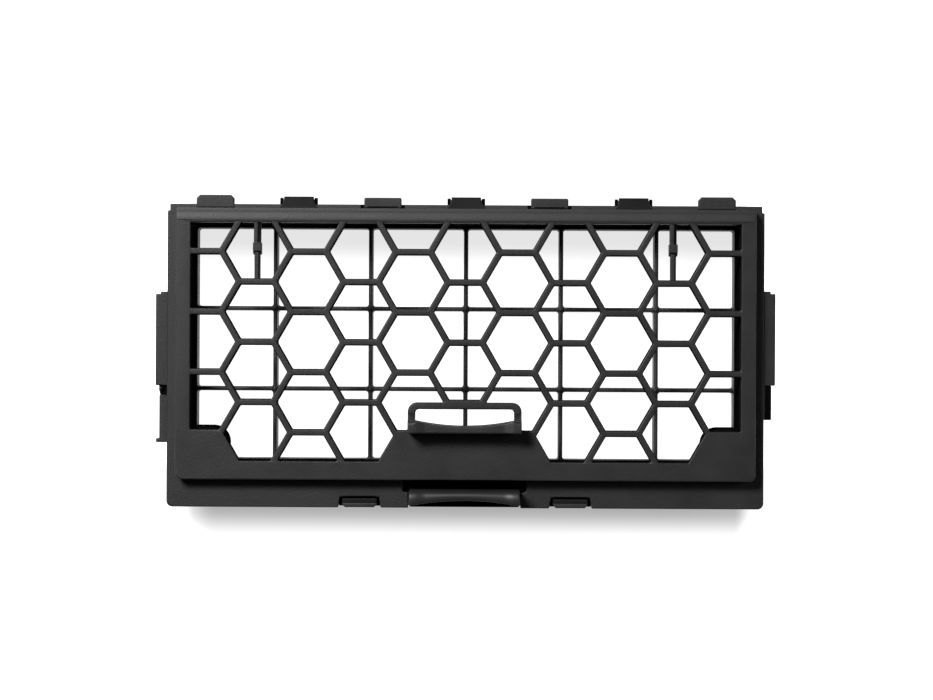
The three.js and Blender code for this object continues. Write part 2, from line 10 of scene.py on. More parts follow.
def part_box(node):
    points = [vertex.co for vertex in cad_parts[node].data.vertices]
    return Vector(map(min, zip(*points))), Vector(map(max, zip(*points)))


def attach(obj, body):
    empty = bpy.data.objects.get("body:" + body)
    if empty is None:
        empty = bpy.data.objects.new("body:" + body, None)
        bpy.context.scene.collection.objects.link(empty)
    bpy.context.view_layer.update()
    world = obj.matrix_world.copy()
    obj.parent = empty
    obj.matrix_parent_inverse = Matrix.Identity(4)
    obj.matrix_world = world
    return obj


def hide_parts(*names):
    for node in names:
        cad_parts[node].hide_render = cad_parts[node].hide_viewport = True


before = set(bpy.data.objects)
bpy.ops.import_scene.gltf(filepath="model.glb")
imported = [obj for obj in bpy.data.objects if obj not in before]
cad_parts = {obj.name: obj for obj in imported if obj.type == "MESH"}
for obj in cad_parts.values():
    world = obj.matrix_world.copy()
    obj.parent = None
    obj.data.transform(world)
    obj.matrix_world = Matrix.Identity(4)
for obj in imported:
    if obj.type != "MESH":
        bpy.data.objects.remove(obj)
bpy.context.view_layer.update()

MM = 0.001
SCENE = bpy.context.scene
TRAY = ("tray", "tray_plastic")
COVER = ("cover", "cover_plastic")
LATCH = ("latch", "latch_plastic")


# ---- sizes, in millimetres, from the CAD nodes ----

def span(node, axis):
    """The lowest and highest coordinate of a CAD node along an axis."""
    low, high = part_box(node)
    return low[axis] / MM, high[axis] / MM


def spans(node):
    """The spans of a CAD node along X, Y and Z."""
    return [span(node, axis) for axis in range(3)]


def mean(pair):
    return sum(pair) / 2


FLANGE_BACK, FLANGE_FRONT = span("flange_left", 2)
FLANGE_X = span("flange_right", 0)[1]
FLANGE_LOW, STEP_Y = span("flange_left", 1)
FLANGE_TOP_X = span("flange_top", 0)[1]
LUG_TOP = span("flange_top", 1)[1]
WALL_X = span("wall_right", 0)
WALL_LOW = span("wall_bottom", 1)
WALL_HIGH = span("wall_top", 1)
RIB_FRONT = span("rear_rib_vertical_1", 2)[1]
COVER_X = span("cover_bar_right", 0)
COVER_BACK, COVER_FRONT = span("cover_bar_right", 2)
COVER_LOW = span("cover_bar_bottom", 1)
COVER_HIGH = span("cover_bar_top", 1)
GRILLE_BACK = span("honeycomb_grille", 2)[0]
PANEL_TOP = span("centre_panel", 1)[1]
LOOP_MIDDLE = mean(span("finger_loop_bar", 0))
LOOP_HALF = span("finger_loop_bar", 0)[1] - LOOP_MIDDLE
LOOP_INNER = span("finger_loop_leg_right", 0)[0] - LOOP_MIDDLE
LOOP_BEND, LOOP_TOP = span("finger_loop_bar", 1)
LIP_LOW, LIP_HIGH = span("finger_lip", 1)
LIP_TOP = span("finger_lip", 2)[1]
HINGE_Y = mean(span("hinge_pin_centre", 1))
HINGE_Z = mean(span("hinge_pin_centre", 2))
HINGE_X = {name: mean(span("hinge_pin_" + name, 0)) for name in ("left", "centre", "right")}
PIN_HALF = (span("hinge_pin_centre", 0)[1] - span("hinge_pin_centre", 0)[0]) / 2

# Sizes of the CAD that no node's box shows. The snap notch's half width is given at its floor and its mouth.
FLANGE_HIGH = 49.2
CUTOUT_LOW = 47.6
SLOT_LOW = -46.9
SLOT_HIGH = -40
SLOT_BESIDE_NOTCH = 1.9
SNAP_NOTCH_HIGH = -48.5
SNAP_NOTCH_HALF = (6.5, 7.1)
LIP_MIDDLE = -24.7
LOOP_BAR_LOW = -19.0

# The honeycomb, whose pitch and place differ a little from the CAD's.
CELL_PITCH = 20.1
HALF_PITCH = CELL_PITCH / 2
CELL_COLUMN = CELL_PITCH * math.sqrt(3) / 2
CELL_CENTRE_Y = (COVER_LOW[1] + COVER_HIGH[0]) / 2 - 0.2
GRILLE_MIDDLE = -0.2
STRUT = 2.0
CORNER_REACH_LEFT = HALF_PITCH - 0.6
CORNER_REACH_RIGHT = HALF_PITCH - 0.95

# The tray's opening widens by this much from the rear to the front.
TRAY_DRAFT = 0.6
# The left ear hangs lower than its CAD node.
LEFT_EAR_LOW = span("ear_left", 1)[0] - 0.85


# ---- outlines ----

SAME_POINT = 1e-3
STRAIGHT = 0.02
MOST_OF_A_SIDE = 0.49


def rounded(corners, default=0.3, step=15):
    """A closed loop from corners (x, y) or (x, y, radius), each an arc in steps of so many degrees."""
    following = corners[1:] + corners[:1]
    corners = [a for a, b in zip(corners, following) if math.dist(a[:2], b[:2]) > SAME_POINT]
    loop = []
    for i, corner in enumerate(corners):
        here = Vector(corner[:2])
        radius = corner[2] if len(corner) > 2 else default
        before = Vector(corners[i - 1][:2]) - here
        after = Vector(corners[(i + 1) % len(corners)][:2]) - here
        angle = before.angle(after)
        turn = math.pi - angle
        if radius <= 0 or turn < STRAIGHT:
            loop.append(here)
            continue
        longest = MOST_OF_A_SIDE * min(before.length, after.length)
        reach = min(radius / math.tan(angle / 2), longest)
        radius = reach * math.tan(angle / 2)
        start = here + before.normalized() * reach
        inwards = (before.normalized() + after.normalized()).normalized()
        centre = here + inwards * (radius / math.sin(angle / 2))
        side = 1 if before.cross(after) < 0 else -1
        pieces = max(1, round(math.degrees(turn) / step))
        for k in range(pieces + 1):
            loop.append(centre + Matrix.Rotation(side * turn * k / pieces, 2) @ (start - centre))
    return loop


def rectangle(x, y, radius):
    return rounded([(x[0], y[0]), (x[1], y[0]), (x[1], y[1]), (x[0], y[1])], radius)


def circle(radius, x, y, sides=36):
    turns = [math.tau * i / sides for i in range(sides)]
    return [Vector((x + radius * math.cos(turn), y + radius * math.sin(turn))) for turn in turns]


def mirrored(points):
    return [(-p[0],) + tuple(p[1:]) for p in reversed(points)]


def spread(half, count):
    """Evenly spaced values from -half to half."""
    return [half * (2 * i / count - 1) for i in range(count + 1)]


def quarter_turn(steps, first=0):
    """Angles up to 90 degrees in equal steps, in radians."""
    return [k / steps * math.pi / 2 for k in range(first, steps + 1)]


def smooth_step(low, high, value):
    t = min(1, max(0, (value - low) / (high - low)))
    return t * t * (3 - 2 * t)


def crossing(a, way_a, b, way_b):
    """The point where two lines meet, each given by a point and a direction."""
    return a + way_a * ((b - a).cross(way_b) / way_a.cross(way_b))


def offset(loop, distance):
    """Move a counter-clockwise loop outwards; arcs that vanish collapse to a corner."""
    count = len(loop)
    ways = [(loop[(i + 1) % count] - loop[i]).normalized() for i in range(count)]
    moved = []
    for i, here in enumerate(loop):
        out_a = Vector((ways[i].y, -ways[i].x))
        out_b = Vector((ways[i - 1].y, -ways[i - 1].x))
        moved.append(here + (out_a + out_b) * (distance / (1 + out_a.dot(out_b))))
    known = set()
    while True:
        flipped = {i for i in range(count) if (moved[(i + 1) % count] - moved[i]).dot(ways[i]) <= 1e-6}
        if flipped == known:
            return moved
        known = flipped
        start = next(i for i in range(count) if i not in flipped)
        i = start
        while i < start + count:
            first = i
            while i % count in flipped:
                i += 1
            if i > first:
                corner = crossing(moved[first % count], ways[(first - 1) % count],
                                  moved[i % count], ways[i % count])
                for k in range(first, i + 1):
                    moved[k % count] = corner
            else:
                i += 1


def area(loop):
    return sum(a.cross(b) for a, b in zip(loop, loop[1:] + loop[:1])) / 2


def counter_clockwise(loop):
    loop = [Vector(p[:2]) for p in loop]
    return loop if area(loop) > 0 else loop[::-1]


# ---- mesh work ----

RIM_STEPS = 3


def edge_profile(level, back_radius, front_radius, draft):
    """Rings (z, inset) from the back face to the front face: round rims, and wider by draft at the back."""
    back, front = level
    rings = []
    for turn in quarter_turn(RIM_STEPS):
        rings.append((back + back_radius * (1 - math.cos(turn)), back_radius * (1 - math.sin(turn))))
    for turn in quarter_turn(RIM_STEPS):
        rings.append((front - front_radius * (1 - math.sin(turn)), front_radius * (1 - math.cos(turn))))
    return [(z, inset - draft * (front - z) / (front - back)) for z, inset in rings]


def skin_loop(mesh, loop, rings, outward):
    """Walls along one loop. Returns the first and the last row of vertices."""
    rows = []
    for level, inset in rings:
        moved = offset(loop, -inset if outward else inset)
        rows.append([mesh.verts.new((p.x, p.y, level)) for p in moved])
    count = len(loop)
    for low, high in zip(rows, rows[1:]):
        for i in range(count):
            j = (i + 1) % count
            quad = (low[i], low[j], high[j], high[i])
            mesh.faces.new(quad if outward else quad[::-1])
    return rows[0], rows[-1]


def inside(point, loop):
    """True if a point lies within a loop of vertices."""
    crossings = 0
    for a, b in zip(loop, loop[1:] + loop[:1]):
        if (a.co.y > point.y) != (b.co.y > point.y):
            reach = a.co.x + (point.y - a.co.y) * (b.co.x - a.co.x) / (b.co.y - a.co.y)
            crossings += point.x < reach
    return crossings % 2 == 1


def cap(mesh, rows, way):
    """Close the flat face between an outer row of vertices and the rows of its holes."""
    verts, owner, edges = [], [], []
    for number, row in enumerate(rows):
        start = len(verts)
        verts += row
        owner += [number] * len(row)
        edges += [(start + i, start + (i + 1) % len(row)) for i in range(len(row))]
    places = [v.co.xy for v in verts]
    points, _, faces, origins, _, _ = delaunay_2d_cdt(places, edges, [], 0, 1e-7)
    for face in faces:
        strays = [tuple(points[i]) for i in face if not origins[i]]
        if strays:
            raise ValueError(f"outlines cross near {strays}")
        corners = [origins[i][0] for i in face]
        owners = {owner[i] for i in corners}
        if len(owners) == 1:
            number = owners.pop()
            middle = sum((places[i] for i in corners), Vector((0, 0))) / len(corners)
            if inside(middle, rows[number]) != (number == 0):
                continue
        mesh.faces.new([verts[i] for i in (corners if way > 0 else corners[::-1])])


def slab_mesh(outer, holes, level, back_radius, front_radius, draft=0.0):
    """A closed plate between two levels, with round rims, as a bmesh in millimetres."""
    mesh = bmesh.new()
    rings = edge_profile(level, back_radius, front_radius, draft)
    backs, fronts = [], []
    for i, loop in enumerate([outer] + list(holes)):
        back, front = skin_loop(mesh, counter_clockwise(loop), rings, outward=i == 0)
        backs.append(back)
        fronts.append(front)
    cap(mesh, backs, -1)
    cap(mesh, fronts, 1)
    bmesh.ops.remove_doubles(mesh, verts=mesh.verts, dist=1e-4)
    bmesh.ops.recalc_face_normals(mesh, faces=mesh.faces)
    return mesh


# A plate whose outline was given as (y, z) or (x, z) is stood up by one of these.
ALONG_X = Matrix(((0, 0, 1, 0), (1, 0, 0, 0), (0, 1, 0, 0), (0, 0, 0, 1)))
ALONG_Y = Matrix(((1, 0, 0, 0), (0, 0, 1, 0), (0, 1, 0, 0), (0, 0, 0, 1)))

SHARP_EDGE = math.radians(40)
UPRIGHT = 0.4


def put(name, mesh, body, slot, *nodes, turn=None, material=None, painted_shade_where=None):
    """Make a bmesh in millimetres a piece that rides on a body and stands for CAD nodes.

    Its upright faces where painted_shade_where(place) is true get the near-black plastic that paints the
    shade on inner walls.
    """
    if turn:
        bmesh.ops.transform(mesh, matrix=turn, verts=mesh.verts)
    bmesh.ops.scale(mesh, vec=(MM, MM, MM), verts=mesh.verts)
    data = bpy.data.meshes.new(name)
    mesh.to_mesh(data)
    mesh.free()
    for polygon in data.polygons:
        polygon.use_smooth = True
    data.set_sharp_from_angle(angle=SHARP_EDGE)
    piece = bpy.data.objects.new(name, data)
    SCENE.collection.objects.link(piece)
    piece.modifiers.new("even_shading", "WEIGHTED_NORMAL").keep_sharp = True
    data.materials.append(MATERIALS[material or slot])
    if painted_shade_where:
        data.materials.append(MATERIALS["painted_shade_plastic"])
        for polygon in data.polygons:
            if abs(polygon.normal.z) < UPRIGHT and painted_shade_where(polygon.center / MM):
                polygon.material_index = 1
    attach(piece, body)
    if nodes:
        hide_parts(*nodes)
    return piece


def join(*meshes):
    """One bmesh from several closed ones."""
    whole = bmesh.new()
    for mesh in meshes:
        data = bpy.data.meshes.new("part")
        mesh.to_mesh(data)
        mesh.free()
        whole.from_mesh(data)
        bpy.data.meshes.remove(data)
    return whole


def placed(mesh, matrix):
    """Move or turn a bmesh."""
    bmesh.ops.transform(mesh, matrix=matrix, verts=mesh.verts)
    bmesh.ops.recalc_face_normals(mesh, faces=mesh.faces)
    return mesh


def loft(stations):
    """A closed bar along X through sections (x, [(y, z), ...]) with equal numbers of points."""
    mesh = bmesh.new()
    rows = [[mesh.verts.new((x, y, z)) for y, z in section] for x, section in stations]
    count = len(rows[0])
    for near, far in zip(rows, rows[1:]):
        for i in range(count):
            j = (i + 1) % count
            mesh.faces.new((near[i], near[j], far[j], far[i]))
    mesh.faces.new(rows[0][::-1])
    mesh.faces.new(rows[-1])
    bmesh.ops.recalc_face_normals(mesh, faces=mesh.faces)
    return mesh


def loft_with_ends(section, half, rim, inner):
    """A loft from -half to half with round ends; section(x) gives a counter-clockwise loop."""
    ends = [(half - rim * (1 - math.sin(turn)), rim * (1 - math.cos(turn)))
            for turn in quarter_turn(RIM_STEPS)]
    stations = [(-x, inset) for x, inset in ends[::-1]] + [(x, 0) for x in inner] + ends
    return loft([(x, [tuple(p) for p in offset([Vector(q) for q in section(x)], -inset)])
                 for x, inset in stations])


def rod(radius, length, rim=0.2, sides=40):
    """A round bar along X with rounded ends, centred on the origin."""
    return placed(slab_mesh(circle(radius, 0, 0, sides), (), (-length / 2, length / 2), rim, rim), ALONG_X)


# ---- materials ----

# The noise stays mostly between these two values.
NOISE_LOW, NOISE_HIGH = 0.3, 0.7
TINT_RANGE = 0.1
SHEEN_RANGE = 0.05
BUMP_HEIGHT = 0.1 * MM


def black_plastic(name, color, roughness, grain, specular):
    """Moulded plastic: one noise for a cloudy tint and sheen, and two finer ones for the grain."""
    material = bpy.data.materials.new(name)
    material.use_nodes = True
    nodes = material.node_tree.nodes
    links = material.node_tree.links
    nodes.clear()
    output = nodes.new("ShaderNodeOutputMaterial")
    shader = nodes.new("ShaderNodeBsdfPrincipled")
    shader.inputs["Specular IOR Level"].default_value = specular
    links.new(shader.outputs["BSDF"], output.inputs["Surface"])
    place = nodes.new("ShaderNodeTexCoord")

    def noise(scale, detail):
        texture = nodes.new("ShaderNodeTexNoise")
        texture.inputs["Scale"].default_value = scale
        texture.inputs["Detail"].default_value = detail
        links.new(place.outputs["Object"], texture.inputs["Vector"])
        return texture.outputs["Fac"]

    cloud = noise(scale=90, detail=6)
    speckle = noise(scale=1700, detail=3)
    pits = noise(scale=3000, detail=2)

    tint = nodes.new("ShaderNodeValToRGB")
    shades = ((NOISE_LOW, 1 - TINT_RANGE), (NOISE_HIGH, 1 + TINT_RANGE))
    for element, (position, shade) in zip(tint.color_ramp.elements, shades):
        element.position = position
        element.color = [c * shade for c in color] + [1]
    links.new(cloud, tint.inputs["Fac"])
    links.new(tint.outputs["Color"], shader.inputs["Base Color"])

    sheen = nodes.new("ShaderNodeMapRange")
    sheen.inputs["From Min"].default_value = NOISE_LOW
    sheen.inputs["From Max"].default_value = NOISE_HIGH
    sheen.inputs["To Min"].default_value = roughness - SHEEN_RANGE
    sheen.inputs["To Max"].default_value = roughness + SHEEN_RANGE
    links.new(cloud, sheen.inputs["Value"])
    links.new(sheen.outputs["Result"], shader.inputs["Roughness"])

    texture = nodes.new("ShaderNodeMath")
    texture.operation = "ADD"
    links.new(pits, texture.inputs[0])
    links.new(speckle, texture.inputs[1])
    bump = nodes.new("ShaderNodeBump")
    bump.inputs["Strength"].default_value = grain
    bump.inputs["Distance"].default_value = BUMP_HEIGHT
    links.new(texture.outputs["Value"], bump.inputs["Height"])
    links.new(bump.outputs["Normal"], shader.inputs["Normal"])
    return material


# name: (colour, roughness, grain, specular)
PLASTICS = {
    "tray_plastic": ((0.007, 0.007, 0.0071), 0.50, 0.6, 0.25),
    "cover_plastic": ((0.0072, 0.0072, 0.0073), 0.48, 0.5, 0.25),
    "latch_plastic": ((0.0075, 0.0075, 0.0076), 0.47, 0.2, 0.28),
    # A darker, less glossy copy of the plastic that paints shade on the hooks, the side boss and the snap
    # steps.
    "painted_dim_plastic": ((0.0025, 0.0025, 0.00255), 0.45, 0.25, 0.13),
    # Near-black, matte and without gloss: it paints the shade on inner walls, recesses and parts deep in
    # shadow.
    "painted_shade_plastic": ((0.002, 0.002, 0.002), 0.9, 0.3, 0.0),
}
MATERIALS = {name: black_plastic(name, *look) for name, look in PLASTICS.items()}


def within(half, low, high, margin):
    """A test for a place in millimetres: does it lie in a rectangle, grown by a margin?"""
    return lambda place: abs(place.x) < half + margin and low - margin < place.y < high + margin


# Where upright faces get the painted shade: round the cover's opening, inside the tray and inside the skirt.
WITHIN_OPENING = within(COVER_X[0], COVER_LOW[1], COVER_HIGH[0], 0.5)
WITHIN_TRAY = within(WALL_X[0], WALL_LOW[1], WALL_HIGH[0], 0.9)
WITHIN_SKIRT = within(COVER_X[1], COVER_LOW[0], COVER_HIGH[1], -0.7)


# ---- tray ----

def bottom_corner(side):
    """The flange's edge from the latch notch round the bottom corner to the top edge."""
    notch = abs(span("flange_bottom_" + side, 0)[0 if side == "right" else 1])
    snap = abs(mean(span("snap_tab_" + side, 0)))
    slot = notch + SLOT_BESIDE_NOTCH
    floor, mouth = SNAP_NOTCH_HALF
    return [(slot, SLOT_HIGH, 0.5), (slot, SLOT_LOW, 0.8), (notch, SLOT_LOW, 0.2), (notch, FLANGE_LOW, 0.2),
            (snap - mouth, FLANGE_LOW, 0.5), (snap - floor, SNAP_NOTCH_HIGH, 0.4),
            (snap + floor, SNAP_NOTCH_HIGH, 0.4), (snap + mouth, FLANGE_LOW, 0.5),
            (FLANGE_X, FLANGE_LOW, 2.0), (FLANGE_X, STEP_Y, 0.9),
            (FLANGE_TOP_X, STEP_Y, 0.25), (FLANGE_TOP_X, FLANGE_HIGH, 0.4)]


def flange_outline():
    """The flange's outer edge, counter-clockwise, with cuts for the hinges and beside the inner tabs."""
    cuts = [(x - PIN_HALF, x + PIN_HALF) for x in HINGE_X.values()]
    width, under_tab = 1.0, 0.1
    for side in ("left", "right"):
        left, right = span("top_tab_inner_" + side, 0)
        cuts += [(left - width, left + under_tab), (right - under_tab, right + width)]
    edge = []
    for left, right in sorted(cuts, reverse=True):
        edge += [(right, FLANGE_HIGH, 0.25), (right, CUTOUT_LOW, 0.25),
                 (left, CUTOUT_LOW, 0.25), (left, FLANGE_HIGH, 0.25)]
    return rounded(bottom_corner("right") + edge + mirrored(bottom_corner("left")))


def tray_opening(grow=0.0, radius=1.2):
    x = WALL_X[0] + grow
    return rectangle((-x, x), (WALL_LOW[1] - grow, WALL_HIGH[0] + grow), radius)


# The flange; the upright walls of its opening get the painted shade.
def make_flange():
    mesh = slab_mesh(flange_outline(), [tray_opening(TRAY_DRAFT)], (FLANGE_BACK, FLANGE_FRONT), 0.2, 0.35)
    put("tray_flange", mesh, *TRAY, "flange_left", "flange_right", "flange_top",
        "flange_bottom_left", "flange_bottom_right", painted_shade_where=WITHIN_OPENING)


def make_walls():
    """Four walls with a round rim at the rear; their front ends lie inside the flange. Their inner faces get
    painted shade.
    """
    outer = rectangle((-WALL_X[1], WALL_X[1]), (WALL_LOW[0], WALL_HIGH[1]), 2.2)
    front = FLANGE_BACK + 1
    flare = 0.2
    rim = 0.35
    bevel = rim * 0.3
    rear = [(0, rim), (bevel, bevel), (rim, 0)]
    mesh = bmesh.new()
    inner = counter_clockwise(tray_opening())
    outer_rows = skin_loop(mesh, counter_clockwise(outer), rear + [(front, -flare)], outward=True)
    inner_rows = skin_loop(mesh, inner, rear + [(front, TRAY_DRAFT)], outward=False)
    for way, outer_row, inner_row in zip((-1, 1), outer_rows, inner_rows):
        cap(mesh, [outer_row, inner_row], way)
    bmesh.ops.recalc_face_normals(mesh, faces=mesh.faces)
    put("tray_walls", mesh, *TRAY, "wall_left", "wall_right", "wall_top", "wall_bottom", painted_shade_where=WITHIN_TRAY)


def make_rear_grid():
    """Ribs across the tray's rear, with a small round bump on each crossing."""
    rib_half = 0.68
    into_walls = 1.3
    verticals = [f"rear_rib_vertical_{i}" for i in range(1, 6)]
    horizontals = ["rear_rib_horizontal_lower", "rear_rib_horizontal_upper"]
    xs = [mean(span(node, 0)) for node in verticals]
    ys = [mean(span(node, 1)) for node in horizontals]

    def gaps(low, ribs, high):
        """The gaps between two walls and the ribs in between."""
        edges = [low] + [rib + side * rib_half for rib in ribs for side in (-1, 1)] + [high]
        return list(zip(edges[::2], edges[1::2]))

    holes = [rectangle(x, y, 0.9) for y in gaps(WALL_LOW[1], ys, WALL_HIGH[0])
             for x in gaps(-WALL_X[0], xs, WALL_X[0])]
    grid = slab_mesh(tray_opening(into_walls, 1.8), holes, (0.05, RIB_FRONT), 0.2, 0.45, 0.1)
    bumps = []
    for x in xs:
        for y in ys:
            bump = placed(rod(1.05, 1.2, 0.3, 20), ALONG_X)
            bumps.append(placed(bump, Matrix.Translation((x, y, RIB_FRONT - 0.45))))
    put("tray_rear_grid", join(grid, *bumps), *TRAY, *verticals, *horizontals)


def make_corner_blocks():
    """A block with one large round edge in each bottom corner of the opening, in the near-black plastic that
    paints shade.
    """
    into_wall = 0.5
    for side in ("left", "right"):
        x, y, _ = spans("corner_block_" + side)
        near, far = (x[1], x[0] - into_wall) if side == "left" else (x[0], x[1] + into_wall)
        low = y[0] - into_wall
        outline = rounded([(near, low, 0.1), (far, low, 0.1), (far, y[1], 0.1), (near, y[1], 6.3)], step=8)
        mesh = slab_mesh(outline, (), (0.3, FLANGE_FRONT - 0.2), 0.3, 0.5)
        put("tray_corner_block_" + side, mesh, *TRAY, "corner_block_" + side, material="painted_shade_plastic")


# Ears and catches start here, just inside the flange's edge.
SIDE_ROOT = FLANGE_X - 0.3


def make_ear(side):
    """A block on the tray's side with a step at its upper corner."""
    x, (low, high), z = spans("ear_" + side)
    low, high = (LEFT_EAR_LOW, high - 0.5) if side == "left" else (low, high + 0.5)
    tip = max(abs(x[0]), abs(x[1]))
    step_x, step_y = tip - 1.6, high - 0.8
    points = [(SIDE_ROOT, low, 0.1), (tip, low, 0.5), (tip, step_y, 0.35),
              (step_x, step_y, 0.2), (step_x, high, 0.3), (SIDE_ROOT, high, 0.1)]
    outline = rounded(mirrored(points) if side == "left" else points)
    put("tray_ear_" + side, slab_mesh(outline, (), z, 0.25, 0.35), *TRAY, "ear_" + side)


def make_catch_left():
    """A foot with a narrower part above it."""
    x, (low, high), z = spans("catch_left")
    foot, narrow = low + 1.4, -x[0] - 1.1
    points = [(SIDE_ROOT, low, 0.1), (-x[0], low, 0.4), (-x[0], foot, 0.4),
              (narrow, foot, 0.3), (narrow, high, 0.4), (SIDE_ROOT, high, 0.1)]
    put("tray_catch_left", slab_mesh(rounded(mirrored(points)), (), z, 0.25, 0.35), *TRAY, "catch_left")


def make_catch_right():
    """A narrow rim along the flange's edge, and outside it a sunk block in the near-black plastic that paints
    its shade.
    """
    x, (low, high), (back, front) = spans("catch_right")
    rim = rectangle((SIDE_ROOT, FLANGE_X + 0.45), (low, high), 0.15)
    put("tray_catch_rim", slab_mesh(rim, (), (back, front), 0.2, 0.2), *TRAY)
    block = rounded([(SIDE_ROOT, low, 0.1), (x[1], low, 0.4), (x[1], high, 0.4), (SIDE_ROOT, high, 0.1)])
    put("tray_catch_right", slab_mesh(block, (), (back, front - 0.6), 0.25, 0.35), *TRAY, "catch_right",
        material="painted_shade_plastic")


def make_side_recess():
    """The recess between the left ear and its catch, in near-black plastic as painted shade, with a small
    boss in its corner in the darker copy of the plastic as painted shade.
    """
    low, high = span("catch_left", 1)[1] - 0.6, LEFT_EAR_LOW
    under_ear = high + 0.3
    deepest = -FLANGE_X - 2.8
    ground = [(-SIDE_ROOT, low, 0.2), (-SIDE_ROOT, under_ear, 0.2), (deepest, under_ear, 0.2),
              (deepest, high - 1.6, 0.5), (deepest + 0.6, low, 0.2)]
    put("tray_side_recess", slab_mesh(rounded(ground), (), (FLANGE_BACK - 1, FLANGE_BACK + 0.3), 0.2, 0.2),
        *TRAY, material="painted_shade_plastic")
    boss = rectangle((-FLANGE_X - 2.75, -FLANGE_X - 1.4), (high - 1.8, high - 0.3), 0.6)
    put("tray_side_boss", slab_mesh(boss, (), (FLANGE_BACK, FLANGE_BACK + 1.3), 0.2, 0.5),
        *TRAY, material="painted_dim_plastic")


def make_top_tabs():
    """Four tabs stand up from the top edge; beside the inner two lie a ground painted dark as shade and a
    painted shadow line.
    """
    below_edge = 1.2
    for place in ("far_left", "inner_left", "inner_right", "far_right"):
        node = "top_tab_" + place
        x, y, z = spans(node)
        cut = 1.1 if place.startswith("far") else 0.35
        low = y[0] - below_edge
        points = [(x[0], low, 0.2), (x[1], low, 0.2), (x[1], y[1] - cut, 0.25),
                  (x[1] - cut, y[1], 0.25), (x[0] + cut, y[1], 0.25), (x[0], y[1] - cut, 0.25)]
        put("tray_" + node, slab_mesh(rounded(points), (), z, 0.25, 0.35), *TRAY, node)
        if place.startswith("inner"):
            make_tab_painted_shade(place, x, z[1])


def make_tab_painted_shade(place, x, front):
    """A sunk ground beside a tab in near-black plastic as painted shade, and a thin dark sheet across the
    tab's face as a painted shadow line.
    """
    beside = 1.3
    shadow_line_x = (mean(x) - 5, mean(x) + 5)
    sunk, proud = 0.5, 0.02
    ground = rectangle((x[0] - beside, x[1] + beside), (CUTOUT_LOW - 0.4, FLANGE_HIGH), 0.2)
    shadow_line = rectangle(shadow_line_x, (FLANGE_HIGH - 0.95, FLANGE_HIGH - 0.6), 0.12)
    mesh = join(slab_mesh(ground, (), (FLANGE_BACK, FLANGE_FRONT - sunk), 0.1, 0.1),
                slab_mesh(shadow_line, (), (front - 0.4, front + proud), 0.02, 0.01))
    put("tray_painted_shade_" + place, mesh, *TRAY, material="painted_shade_plastic")


def make_pins():
    """Each pin spans a cut-out between two lugs; the lugs are in near-black plastic as painted shade."""
    low, high = 48.2, FLANGE_FRONT - 0.3
    lug = rounded([(low, FLANGE_BACK, 0.2), (LUG_TOP, FLANGE_BACK, 0.6), (LUG_TOP, high, 0.9),
                   (low, high, 0.2)], step=10)
    for name, x in HINGE_X.items():
        for side, sign in (("left", -1), ("right", 1)):
            reach = sorted((x + sign * (PIN_HALF + 0.05), x + sign * (PIN_HALF + 1.15)))
            put(f"tray_lug_{name}_{side}", slab_mesh(lug, (), reach, 0.25, 0.25), *TRAY, turn=ALONG_X,
                material="painted_shade_plastic")
        mesh = placed(rod(1.0, 2 * PIN_HALF + 0.4), Matrix.Translation((x, HINGE_Y, HINGE_Z)))
        put("tray_hinge_pin_" + name, mesh, *TRAY, "hinge_pin_" + name)


# The holes round the hinge pins and the latch's trunnions.
BORE_RADIUS = 1.08


def make_latch_brackets():
    """A bracket with a round lower end holds each trunnion; the brackets are in near-black plastic as painted
    shade.
    """
    for side in ("left", "right"):
        node = "latch_bracket_" + side
        x, y, (low, high) = spans(node)
        _, pin_y, pin_z = spans("latch_trunnion_" + side)
        high += 0.5
        outline = rounded([(y[0], high, 0.2), (y[0], low, 1.4), (y[1], low, 1.4), (y[1], high, 0.2)])
        hole = circle(BORE_RADIUS, mean(pin_y), mean(pin_z), 32)
        put("tray_" + node, slab_mesh(outline, [hole], x, 0.2, 0.2), *TRAY, node, turn=ALONG_X,
            material="painted_shade_plastic")


def make_latch_shelf():
    x, y, z = spans("latch_shelf")
    # Near-black plastic paints the shade on the shelf.
    put("tray_latch_shelf", slab_mesh(rectangle(x, (y[0], y[1] + 0.5), 0.6), (), z, 0.2, 0.3), *TRAY,
        "latch_shelf", material="painted_shade_plastic")


def make_snap_tabs():
    """A tab with a barb at its outer end and a sunk step at its root, and the arm behind it. The step is in
    the darker copy of the plastic and the arm in near-black plastic, both painted shade.
    """
    chamfer = 0.9
    for side in ("left", "right"):
        node = "snap_tab_" + side
        x, (low, high), (back, front) = spans(node)
        middle = (low + high) / 2
        root = front - 1.8
        face = rounded([(x[0], middle, 0.25), (x[0], low + chamfer, 0.2), (x[0] + chamfer, low, 0.2),
                        (x[1] - chamfer, low, 0.2), (x[1], low + chamfer, 0.2), (x[1], middle, 0.25)])
        barb = rectangle((x[0] + chamfer, x[1] - chamfer), (low, low + 1.2), 0.3)
        leg = join(slab_mesh(face, (), (root, front), 0.2, 0.35),
                   slab_mesh(barb, (), (back, front - 1.0), 0.3, 0.1))
        put(node + "_leg", leg, "snap_" + side, "tray_plastic", node)
        step = slab_mesh(rectangle(x, (middle - 0.4, high), 0.3), (), (root, front - 0.7), 0.2, 0.3)
        put(node + "_step", step, "snap_" + side, "tray_plastic", material="painted_dim_plastic")
        arm = "snap_arm_" + side
        x, (low, high), z = spans(arm)
        put("tray_" + arm, slab_mesh(rectangle(x, (low, high + 0.5), 0.4), (), z, 0.3, 0.3), *TRAY, arm,
            material="painted_shade_plastic")


# ---- cover ----

def clip(loop, normal, distance):
    """Cut a convex loop by the half plane normal . p <= distance."""
    kept = []
    for a, b in zip(loop, loop[1:] + loop[:1]):
        side_a = normal.dot(a) - distance
        side_b = normal.dot(b) - distance
        if side_a <= 0:
            kept.append(a)
        if side_a * side_b < 0:
            kept.append(a + (b - a) * (side_a / (side_a - side_b)))
    return kept


